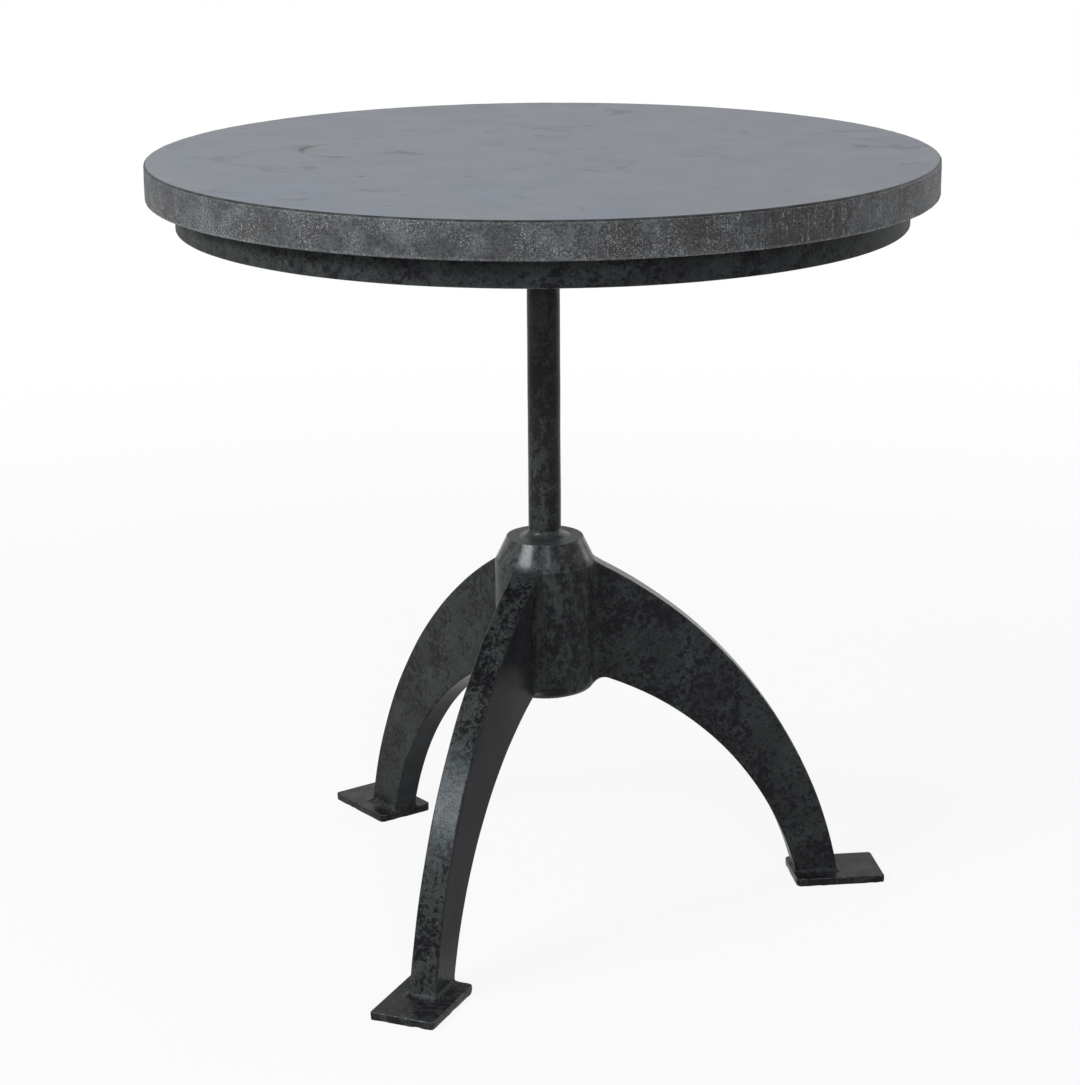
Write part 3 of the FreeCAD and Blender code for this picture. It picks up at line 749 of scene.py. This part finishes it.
class TABLE_OT_apron(bpy.types.Operator):
    """Make the rolled apron ring under the stone"""

    bl_idname = "table.apron"
    bl_label = "Apron ring"

    def execute(self, context):
        sizes = context.scene.table_sizes
        outside, low, high = RING_HIGH.x, RING_LOW.z, RING_HIGH.z
        inside, soft = outside - sizes.ring_wall, 0.6 * sizes.iron_arris
        wall = [(outside, z, 0) for z in between(low, high, 5)[1:-1]]
        corners = [(inside, low, soft), (outside, low, soft), *wall]
        corners += [(outside, high, soft), (inside, high, soft)]
        bm = lathe(soften(corners, steps=4), RING_FACETS, closed=True)
        roughen(bm, 0.10 * MM, 28, PIECES_SEED)
        new_piece("rolled_apron_ring", bm, [iron("apron_iron")], "blackened_iron", "apron_ring")
        return {"FINISHED"}


class TABLE_OT_spider(bpy.types.Operator):
    """Make the flat bars and the centre plate that carry the stone, with softened edges"""

    bl_idname = "table.spider"
    bl_label = "Spider"

    def execute(self, context):
        ease, flat, sharp = 0.5 * context.scene.table_sizes.iron_arris, math.radians(1), math.radians(40)
        for node in SPIDER:
            bm = bmesh.new()
            bm.from_mesh(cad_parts[node].data)
            bmesh.ops.remove_doubles(bm, verts=bm.verts, dist=0.01 * MM)
            bmesh.ops.dissolve_limit(bm, angle_limit=flat, verts=bm.verts, edges=bm.edges)
            edges = [edge for edge in bm.edges if edge.calc_face_angle(0) > sharp]
            rounding = {"offset_type": "OFFSET", "segments": 2, "profile": 0.5, "affect": "EDGES"}
            bmesh.ops.bevel(bm, geom=edges, offset=ease, **rounding)
            bmesh.ops.triangulate(bm, faces=[face for face in bm.faces if len(face.verts) > 4])
            piece = new_piece(f"{node}_eased", bm, [iron("plate_iron")], "blackened_iron", node)
            piece.modifiers.new("even_shading", "WEIGHTED_NORMAL")
        return {"FINISHED"}


class TABLE_OT_bumpers(bpy.types.Operator):
    """Make the clear bumpers that the loose stone rests on"""

    bl_idname = "table.bumpers"
    bl_label = "Bumpers"

    def execute(self, context):
        low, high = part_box("top_bumpers")
        sizes = context.scene.table_sizes
        base, crown = sizes.bumper_radius, sizes.bumper_radius - sizes.bumper_taper
        corners = [(0, low.z, 0), (base, low.z, 0.2 * MM)]
        corners += [(crown, high.z, (high.z - low.z) / 2), (0, high.z, 0)]
        bm = lathe(soften(corners, closed=False), BUMPER_FACETS)
        bmesh.ops.translate(bm, verts=bm.verts, vec=(high.x - base, 0, 0))
        first, turn = [*bm.verts, *bm.edges, *bm.faces], math.radians(270)
        about = {"cent": (0, 0, 0), "axis": (0, 0, 1), "angle": turn, "steps": 3}
        bmesh.ops.spin(bm, geom=first, use_duplicate=True, **about)
        new_piece("clear_bumpers", bm, [bumper_finish()], "clear_bumper", "top_bumpers")
        return {"FINISHED"}


class TABLE_OT_column(bpy.types.Operator):
    """Make the post, the turned hub and the flared weld between them"""

    bl_idname = "table.column"
    bl_label = "Post and hub"

    def execute(self, context):
        sizes = context.scene.table_sizes
        post, start, end = POST_HIGH.x, HUB_HIGH.z - POST_IN_HUB, POST_HIGH.z
        shaft = [(post, z, 0) for z in between(start, end, 40)[1:-1]]
        corners = [(0, start, 0), (post, start, 0), *shaft, (post, end, 0), (0, end, 0)]
        bm = lathe(soften(corners, closed=False), POST_FACETS)
        roughen(bm, 0.16 * MM, 34, PIECES_SEED + 1)
        new_piece("round_post", bm, [iron("turned_iron")], "blackened_iron", "post")

        wall, top, low, bend = HUB_HIGH.x, HUB_HIGH.z, HUB_LOW.z, sizes.hub_round
        edge = top - sizes.hub_shoulder
        drum = [(wall, z, 0) for z in between(low + 1.5 * bend, edge - 0.5 * bend, 8)[1:-1]]
        corners = [(0, low, 0), (wall * 0.6, low, 0), (wall, low, bend), *drum]
        corners += [(wall, edge, 1.2 * MM), (sizes.hub_top, top, 0.6 * MM), (post, top, 0), (0, top, 0)]
        bm = lathe(soften(corners, closed=False, steps=6), HUB_FACETS)
        roughen(bm, 0.16 * MM, 45, PIECES_SEED + 2)
        finish = hub_finish(context.scene.table_finish, top)
        new_piece("turned_hub", bm, [finish], "blackened_iron", "hub")

        flare, buried, inset = 1.25 * sizes.post_weld, 0.8 * MM, 2 * MM
        toe, tip, skin = post + flare + buried, top + flare + buried, post - 0.15 * MM
        corners = [(post - inset, tip, 0), (post - inset, top - inset, 0)]
        corners += [(toe, top - inset, 0), (toe, top - 0.3 * MM, 0)]
        for turn in [math.radians(10 * k) for k in range(10)]:
            corners.append((skin + flare * (1 - math.sin(turn)), top + flare * (1 - math.cos(turn)), 0))
        corners.append((post - 0.3 * MM, tip, 0))
        bm = lathe(soften(corners), FLARE_FACETS, closed=True)
        roughen(bm, 0.25 * MM, 110, PIECES_SEED + 3)
        new_piece("post_weld_flare", bm, [iron("flare_iron")], "weld_metal", "post_hub_weld")
        return {"FINISHED"}


class TABLE_OT_legs(bpy.types.Operator):
    """Make the three curved legs with worn edges, one edge of each brighter as a painted highlight"""

    bl_idname = "table.legs"
    bl_label = "Legs"

    def execute(self, context):
        sizes = context.scene.table_sizes
        outer, inner = leg_arcs(sizes)
        half, soft, stations = LEG_HIGH.y, sizes.iron_arris, 96
        root, base = HUB_HIGH.x - LEG_IN_HUB, FOOT_HIGH.z - LEG_IN_FOOT
        wide_steps = between(-half, half, 4)[1:-1]
        for place, turn in LEG_TURNS.items():
            rows = []
            for station in range(stations + 1):
                along = station / stations
                top, low = outer.spot(along, root, base), inner.spot(along, root, base)
                depth = (top - low).length
                outline = oblong(0, depth, half, between(0, depth, 10)[1:-1], wide_steps, [soft] * 4)
                # wear fades towards the hub and the foot, and is least on the hollow edge; the edge at
                # negative v gets more of it, as a painted highlight
                fade = min(1.0, max(0.0, (along - 0.10) / 0.3), max(0.2, (1 - along) / 0.3))
                row = []
                for (u, v), worn in outline:
                    spot = low + (top - low) * (u / depth)
                    edge_wear_and_painted_highlight = 0.3 if u < 2 * soft else 1.0 if v < 0 else 0.6
                    row.append((Vector((spot.x, v, spot.y)), worn * fade * edge_wear_and_painted_highlight))
                rows.append(row)
            bm = loft(rows)
            flank = half if place == "front" else None
            self.mark_faces(bm, outline, depth, stations, outer.radius, flank)
            turned(bm, turn)
            roughen(bm, 0.22 * MM, 30, PIECES_SEED + 10 + turn)
            new_piece(f"curved_leg_{place}", bm, [iron("leg_iron")], "blackened_iron", f"leg_{place}")
        return {"FINISHED"}

    @staticmethod
    def mark_faces(bm, outline, depth, stations, radius, flank):
        """place along and across the leg, and where it is brushed bare, given a painted sheen or convex
        """
        names = ("run", "rise", "bare", "wear_and_painted_sheen", "crest")
        run, rise, bare, wear_and_painted_sheen, crest = [bm.verts.layers.float.new(name) for name in names]
        bm.verts.ensure_lookup_table()
        for index, vertex in enumerate(bm.verts):
            station, spot = divmod(index, len(outline))
            along, (u, v) = station / stations, outline[spot][0]
            vertex[run] = along * radius
            hollow, bare_and_painted_light = u < 1e-6, flank is not None and abs(v - flank) < 1e-6
            vertex[rise] = v if hollow else math.hypot(vertex.co.x, vertex.co.z)
            if hollow:
                vertex[bare] = min(1.0, max(0.0, along * 3 - 0.4))
                # faint painted sheen on the lower part of the hollow edge
                vertex[wear_and_painted_sheen] = 0.35 * min(1.0, max(0.0, along * 2 - 0.6))
            elif bare_and_painted_light:
                vertex[bare] = min(1.0, 0.4 + along * 1.8, max(0.0, (0.98 - along) / 0.12))
            elif u > depth - 1e-6:
                # painted sheen half way down the convex edge
                vertex[wear_and_painted_sheen] = max(0.0, 1 - ((along - 0.59) / 0.14) ** 2)
                vertex[crest] = 1.0


class TABLE_OT_leg_welds(bpy.types.Operator):
    """Make the ground welds that sweep from the legs on to the hub"""

    bl_idname = "table.leg_welds"
    bl_label = "Leg welds"

    def execute(self, context):
        sizes = context.scene.table_sizes
        outer, inner = leg_arcs(sizes)
        half, cove = LEG_HIGH.y, sizes.leg_cove
        over, under, beside = 0.16 * cove, 0.82 * cove, 0.75 * cove
        skin, sunk, steps = 0.05 * MM, 1.2 * MM, 10
        plan = [(cove + 0.3 * MM, -0.5 * MM, -0.5 * MM, -0.5 * MM)]
        for step in range(steps + 1):
            turn = math.radians(90 * step / steps)
            grown = 1 - math.cos(turn)
            plan.append((cove * (1 - math.sin(turn)), *[s * grown - skin for s in (beside, over, under)]))
        plan.append((-0.35 * MM, beside + sunk, over + 0.2 * sunk, under + sunk))
        plan.append((-LEG_IN_HUB, *plan[-1][1:]))
        for place, turn in LEG_TURNS.items():
            rows = [self.ring(*row, half, sizes, outer, inner) for row in plan]
            bm = turned(loft(rows), turn)
            roughen(bm, 0.2 * MM, 60, PIECES_SEED + 20 + turn)
            new_piece(f"ground_weld_{place}", bm, [iron("leg_iron")], "weld_metal", f"leg_weld_{place}")
        return {"FINISHED"}

    @staticmethod
    def ring(away, beside, up, down, half, sizes, outer, inner):
        """row of points round a leg at a distance from the hub, swollen beyond the leg's own section"""
        crest = sizes.iron_arris + 0.3 * max(up, 0)
        belly = sizes.iron_arris + 0.5 * max(down, 0)
        crest_half, belly_half = half + 0.3 * beside, half + beside
        turn_in = HUB_LOW.z + sizes.hub_round

        def spot(y, edge, rise):
            radius = HUB_HIGH.x
            for _ in range(4):
                x = math.sqrt((radius + away) ** 2 - y**2)
                z = edge.height(x) + rise
                dip = min(sizes.hub_round, max(0.0, turn_in - z))
                radius = HUB_HIGH.x - sizes.hub_round + math.sqrt(sizes.hub_round**2 - dip**2)
            return Vector((x, y, z))

        def top_corner(turn):
            y = crest_half - crest + crest * math.sin(turn)
            return spot(y, outer, up - crest + crest * math.cos(turn))

        def low_corner(turn):
            y = belly_half - belly + belly * math.cos(turn)
            return spot(y, inner, belly - down - belly * math.sin(turn))

        quarter = [math.radians(18 * k) for k in range(6)]
        side = [spot((crest_half - crest) * k / 3, outer, up) for k in range(3)]
        side += [top_corner(turn) for turn in quarter]
        high, low = top_corner(quarter[-1]), low_corner(0)
        side += [high.lerp(low, k / 12) for k in range(1, 12)]
        side += [low_corner(turn) for turn in quarter]
        side += [spot((belly_half - belly) * k / 3, inner, -down) for k in (2, 1, 0)]
        mirrored = [Vector((p.x, -p.y, p.z)) for p in reversed(side[1:-1])]
        return [(p, 0.0) for p in side + mirrored]


class TABLE_OT_feet(bpy.types.Operator):
    """Make the torch-cut foot plates"""

    bl_idname = "table.feet"
    bl_label = "Foot plates"

    def execute(self, context):
        corner = context.scene.table_sizes.foot_corner
        inside, outside, half = FOOT_LOW.x, FOOT_HIGH.x, FOOT_HIGH.y
        steps = between(inside, outside, 28, 3.4 * corner), between(-half, half, 20, 3.4 * corner)
        roundings = (2.4 * corner, corner, 1.6 * corner, 2.4 * corner)
        outline = [p for p, _ in oblong(inside, outside, half, *steps, roundings)]
        # share of the height, inset in mm, pull to the middle, wear (near the top edge partly a painted
        # highlight line), raggedness
        levels = [(0.0, 0.4, pull, 0.0, rag) for pull, rag in ((0.5, 0.0), (0.1, 1.0), (0.0, 1.0))]
        levels += [(0.10, 0.15, 0.0, 0.0, 1.0), (0.35, 0.0, 0.0, 0.0, 0.8), (0.60, 0.0, 0.0, 0.0, 0.5)]
        levels += [(0.80, 0.0, 0.0, 0.0, 0.25), (0.915, 0.05, 0.0, 0.4, 0.15)]
        levels += [(0.968, 0.25, 0.0, 1.0, 0.1), (0.995, 0.6, 0.0, 0.6, 0.05)]
        levels += [(1.0, 1.0, pull, 0.0, 0.0) for pull in (0.0, 0.05, 0.4, 0.8)]
        for place, turn in LEG_TURNS.items():
            bm = turned(loft([self.level(outline, turn, *level) for level in levels]), turn)
            finish = iron("plate_iron")
            new_piece(f"torch_cut_foot_{place}", bm, [finish], "blackened_iron", f"foot_plate_{place}")
        return {"FINISHED"}

    @staticmethod
    def level(outline, turn, height, inset, pull, worn, ragged):
        """row of points round a plate, with the torch's waves and bites and chips along the floor"""
        middle = Vector(((FOOT_LOW.x + FOOT_HIGH.x) / 2, 0))
        row = []
        for index, p in enumerate(outline):
            before, after = outline[index - 1], outline[(index + 1) % len(outline)]
            run = (after - before).normalized()
            outward = Vector((run.y, -run.x))
            key = Vector((p.x * 190, p.y * 190, turn + height * 1.6))
            wave = 0.5 + 0.5 * noise.noise(key)
            bite = 0.5 + 0.5 * noise.noise(Vector((p.x * 60, p.y * 60, turn + 5)))
            spot = p - outward * (inset * MM + ragged * (0.6 * wave + 0.3 * bite - 0.35) * MM)
            spot = spot.lerp(middle, pull)
            chipped = pull == 0 and height <= 0.10
            lift = 1.1 * MM * max(0.0, noise.noise(key * 0.6)) if chipped else 0.0
            row.append((Vector((spot.x, spot.y, height * FOOT_HIGH.z + lift)), worn))
        return row


class TABLE_OT_foot_welds(bpy.types.Operator):
    """Make the lumpy welds that flare from the legs' bases on to the feet"""

    bl_idname = "table.foot_welds"
    bl_label = "Foot welds"

    def execute(self, context):
        sizes = context.scene.table_sizes
        outer, inner = leg_arcs(sizes)
        half, level, soft = LEG_HIGH.y, FOOT_HIGH.z, sizes.iron_arris
        for place, turn in LEG_TURNS.items():
            flare = FOOT_WELD_SHARES[place] * sizes.foot_weld
            plan = [(-0.6 * MM, flare + 0.8 * MM)]
            for bend in [math.radians(9 * step) for step in range(11)]:
                plan.append((flare * (1 - math.cos(bend)), flare * (1 - math.sin(bend))))
            plan.append((flare + 0.8 * MM, -0.4 * MM))
            rows = []
            for rise, swell in plan:
                heel = inner.reach(level + rise) - 0.5 * swell
                toe, side = outer.reach(level + rise) + swell, half + swell
                corner = soft + 0.6 * max(swell, 0)
                steps = between(heel, toe, 12, 1.4 * corner), between(-side, side, 10, 1.4 * corner)
                outline = oblong(heel, toe, side, *steps, [corner] * 4)
                rows.append([(Vector((p.x, p.y, level + rise)), 0.0) for p, _ in outline])
            bm = turned(loft(rows), turn)
            roughen(bm, 0.55 * MM, 130, PIECES_SEED + 30 + turn)
            roughen(bm, 0.40 * MM, 330, PIECES_SEED + 40 + turn)
            finish = iron("weld_iron")
            new_piece(f"foot_weld_cove_{place}", bm, [finish], "weld_metal", f"foot_weld_{place}")
        return {"FINISHED"}


class TABLE_OT_under_welds(bpy.types.Operator):
    """Run weld beads along the bars, the ring and the post under the stone"""

    bl_idname = "table.under_welds"
    bl_label = "Welds under the stone"

    def execute(self, context):
        sizes = context.scene.table_sizes
        radius = sizes.bar_bead
        inside, half = RING_HIGH.x - sizes.ring_wall, BAR_HIGH.y
        spread = math.asin(half / inside)
        bar_end = round_points(inside, BAR_LOW.z, between(-spread, spread, 12))
        ring_paths, bar_paths = [], []
        clear = 10 * MM
        start, end = half + clear, PLATE_HIGH.x - clear
        for quarter in range(4):
            spin = Matrix.Rotation(math.radians(90 * quarter), 3, "Z")
            ring_paths.append([spin @ p for p in bar_end])
            for side in (-half, half):
                bar_paths.append([spin @ Vector((x, side, BAR_LOW.z)) for x in (start, end)])
        weld_piece("bar_end_beads", ring_paths, radius, "bar_ring_welds", 11)
        weld_piece("bar_side_beads", bar_paths, radius, "bar_plate_welds", 12)
        turns = [math.tau * k / 48 for k in range(48)]
        loop = round_points(POST_HIGH.x, PLATE_LOW.z, turns)
        weld_piece("post_head_bead", [loop], 1.2 * radius, "post_plate_weld", 13, closed=True)
        return {"FINISHED"}


class TABLE_OT_stage(bpy.types.Operator):
    """Set up the pale floor, the soft lights and the camera"""

    bl_idname = "table.stage"
    bl_label = "Stage"

    def execute(self, context):
        stage = context.scene.table_stage
        context.scene.view_settings.view_transform = "Standard"
        self.floor()
        self.room(context, stage)
        self.lamps(context)
        self.camera(context, stage)
        return {"FINISHED"}

    @staticmethod
    def seen_directly(nodes):
        """one for rays of the camera, of gloss and of clear pieces, else nothing"""
        rays = nodes.wires("ShaderNodeLightPath")
        total = rays["Is Camera Ray"] + rays["Is Glossy Ray"] + rays["Is Transmission Ray"]
        return nodes.maths("MINIMUM", total, 1.0)

    def floor(self):
        bm = bmesh.new()
        bmesh.ops.create_circle(bm, cap_ends=True, segments=96, radius=16)
        floor = new_object("studio_floor", bm)
        f = Finish("pale_floor")
        f.shade(Base_Color=(0.66, 0.66, 0.66), Roughness=0.9, Specular_IOR_Level=0.0)
        white = f.node("ShaderNodeEmission", {}, {"Color": (1, 1, 1), "Strength": 1.0})
        x, y, _ = f.axes()
        shown = self.seen_directly(f) * f.band(f.away(x, y), 0.5, 2.2, 0.90, 1.0)
        f.cover(shown, white)
        below = f.node("ShaderNodeNewGeometry", output="Backfacing")
        f.cover(below, f.node("ShaderNodeBsdfTransparent"))
        floor.data.materials.append(f.material)

    def room(self, context, stage):
        world = bpy.data.worlds.new("studio_room")
        context.scene.world = world
        world.use_nodes = True
        n = Nodes(world.node_tree)
        strength = stage.ambient + self.seen_directly(n) * (1 - stage.ambient)
        air = n.node("ShaderNodeBackground", {}, {"Color": (1, 1, 1), "Strength": strength})
        n.feed(n.tree.nodes.new("ShaderNodeOutputWorld"), "Surface", air)

    @staticmethod
    def lamps(context):
        target = Vector((0, 0, 0.3))
        rig = {
            "key_softbox": ((-1.92, -1.02, 1.62), (1.2, 0.5), 53, (0.95, 0.975, 1.0)),
            "front_fill": ((0.15, -2.75, 1.55), (0.4, 0.9), 27, (0.86, 0.92, 1.0)),
            "right_rim": ((2.3, 1.1, 0.9), (0.7, 1.6), 12, (0.94, 0.97, 1.0)),
            "top_panel": ((0.0, 0.3, 2.7), (1.8, 1.8), 10, (0.94, 0.97, 1.0)),
        }
        for name, (place, size, power, tint) in rig.items():
            light = bpy.data.lights.new(name, "AREA")
            light.shape = "RECTANGLE"
            light.size, light.size_y = size
            light.energy = power
            light.color = tint
            lamp = bpy.data.objects.new(name, light)
            lamp.location = place
            lamp.rotation_euler = (target - Vector(place)).to_track_quat("-Z", "Y").to_euler()
            context.scene.collection.objects.link(lamp)

    @staticmethod
    def camera(context, stage):
        """camera at the photograph's place, turned from the line to the post by yaw, pitch and roll"""
        pitch, yaw, roll = stage.camera_pitch, stage.camera_yaw, stage.camera_roll
        level = math.cos(pitch)
        forward = Vector((math.sin(yaw) * level, math.cos(yaw) * level, -math.sin(pitch)))
        right = Vector((math.cos(yaw), -math.sin(yaw), 0))
        up = right.cross(forward)
        tilted_right = right * math.cos(roll) + up * math.sin(roll)
        tilted_up = up * math.cos(roll) - right * math.sin(roll)
        look = Matrix((tilted_right, tilted_up, -forward)).transposed().to_4x4()
        move = Matrix.Translation((0, -stage.camera_distance, stage.camera_height))
        camera = bpy.data.objects.new("camera", bpy.data.cameras.new("camera"))
        camera.matrix_world = Matrix.Rotation(-stage.camera_turn, 4, "Z") @ move @ look
        camera.data.lens = stage.camera_lens
        camera.data.sensor_width = 36
        camera.data.clip_end = 60
        context.scene.collection.objects.link(camera)
        context.scene.camera = camera


class TABLE_PT_panel(bpy.types.Panel):
    """Pieces of the table and the sizes and colours that they take"""

    bl_idname = "TABLE_PT_panel"
    bl_label = "Cocktail table"
    bl_space_type = "VIEW_3D"
    bl_region_type = "UI"
    bl_category = "Table"

    def draw(self, context):
        for operator in PIECES:
            self.layout.operator(operator.bl_idname)
        for group in GROUPS:
            box = self.layout.box()
            values = getattr(context.scene, group)
            for name in values.bl_rna.properties.keys():
                if name not in ("rna_type", "name"):
                    box.prop(values, name)


PIECES = (
    TABLE_OT_stone_top,
    TABLE_OT_apron,
    TABLE_OT_spider,
    TABLE_OT_bumpers,
    TABLE_OT_column,
    TABLE_OT_legs,
    TABLE_OT_leg_welds,
    TABLE_OT_feet,
    TABLE_OT_foot_welds,
    TABLE_OT_under_welds,
    TABLE_OT_stage,
)
GROUPS = {"table_sizes": TableSizes, "table_finish": TableFinish, "table_stage": TableStage}


def register():
    for item in (*GROUPS.values(), *PIECES, TABLE_PT_panel):
        bpy.utils.register_class(item)
    for name, group in GROUPS.items():
        setattr(bpy.types.Scene, name, PointerProperty(type=group))


def unregister():
    for name in GROUPS:
        delattr(bpy.types.Scene, name)
    for item in reversed((*GROUPS.values(), *PIECES, TABLE_PT_panel)):
        bpy.utils.unregister_class(item)


def main():
    register()
    for operator in PIECES:
        family, name = operator.bl_idname.split(".")
        getattr(getattr(bpy.ops, family), name)()


if __name__ == "__main__":
    main()
